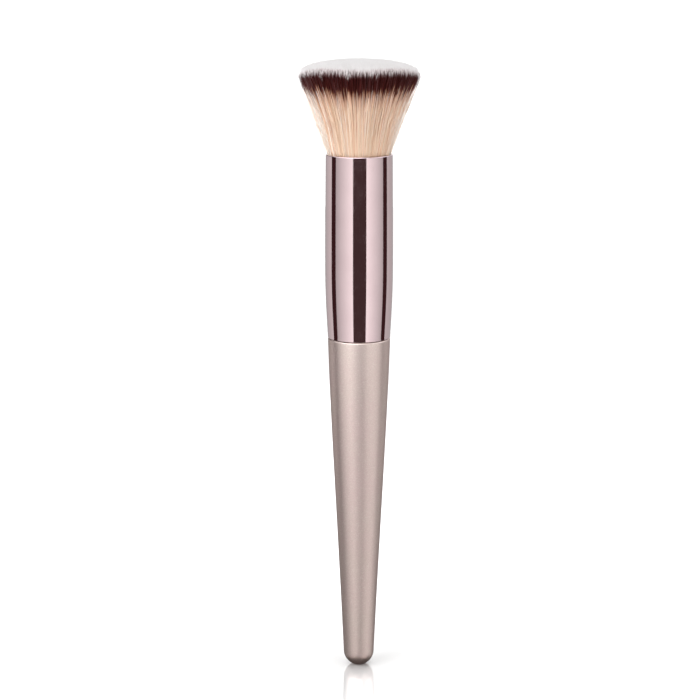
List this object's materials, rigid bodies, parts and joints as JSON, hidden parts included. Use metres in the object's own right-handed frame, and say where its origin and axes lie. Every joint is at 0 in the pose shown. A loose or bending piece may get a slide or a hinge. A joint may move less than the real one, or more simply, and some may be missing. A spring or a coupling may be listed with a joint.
{
  "type": "makeup brush",
  "caption": "Flat-top makeup brush: a flared, slightly domed bristle head in a barrelled metal ferrule on a tapered handle with a rounded end.",
  "frame": {"origin": "centre of the small sanded flat at the end of the handle, where the brush stands", "axes": "+Z along the brush's axis from the handle's end to the bristle tips; +X and +Y across it, and the round brush is the same all round them"},
  "size_m": [0.0309, 0.0308, 0.165],
  "materials": {
    "handle_lacquer": "turned wood under a satin champagne-rose pearl lacquer",
    "ferrule_metal": "mirror-polished, anodised pale rose",
    "glue": "cured clear yellowish adhesive",
    "resin": "cured amber casting resin",
    "thread": "wound cotton thread",
    "fibre": "soft synthetic fibre, beige with a dark brown dipped band and white tips"
  },
  "bodies": {
    "root": {"handle": "handle_lacquer", "ferrule": "ferrule_metal", "tenon_adhesive": "glue", "resin_plug": "resin", "root_tie": "thread", "bristle_tuft": "fibre"}
  },
  "joints": []
}
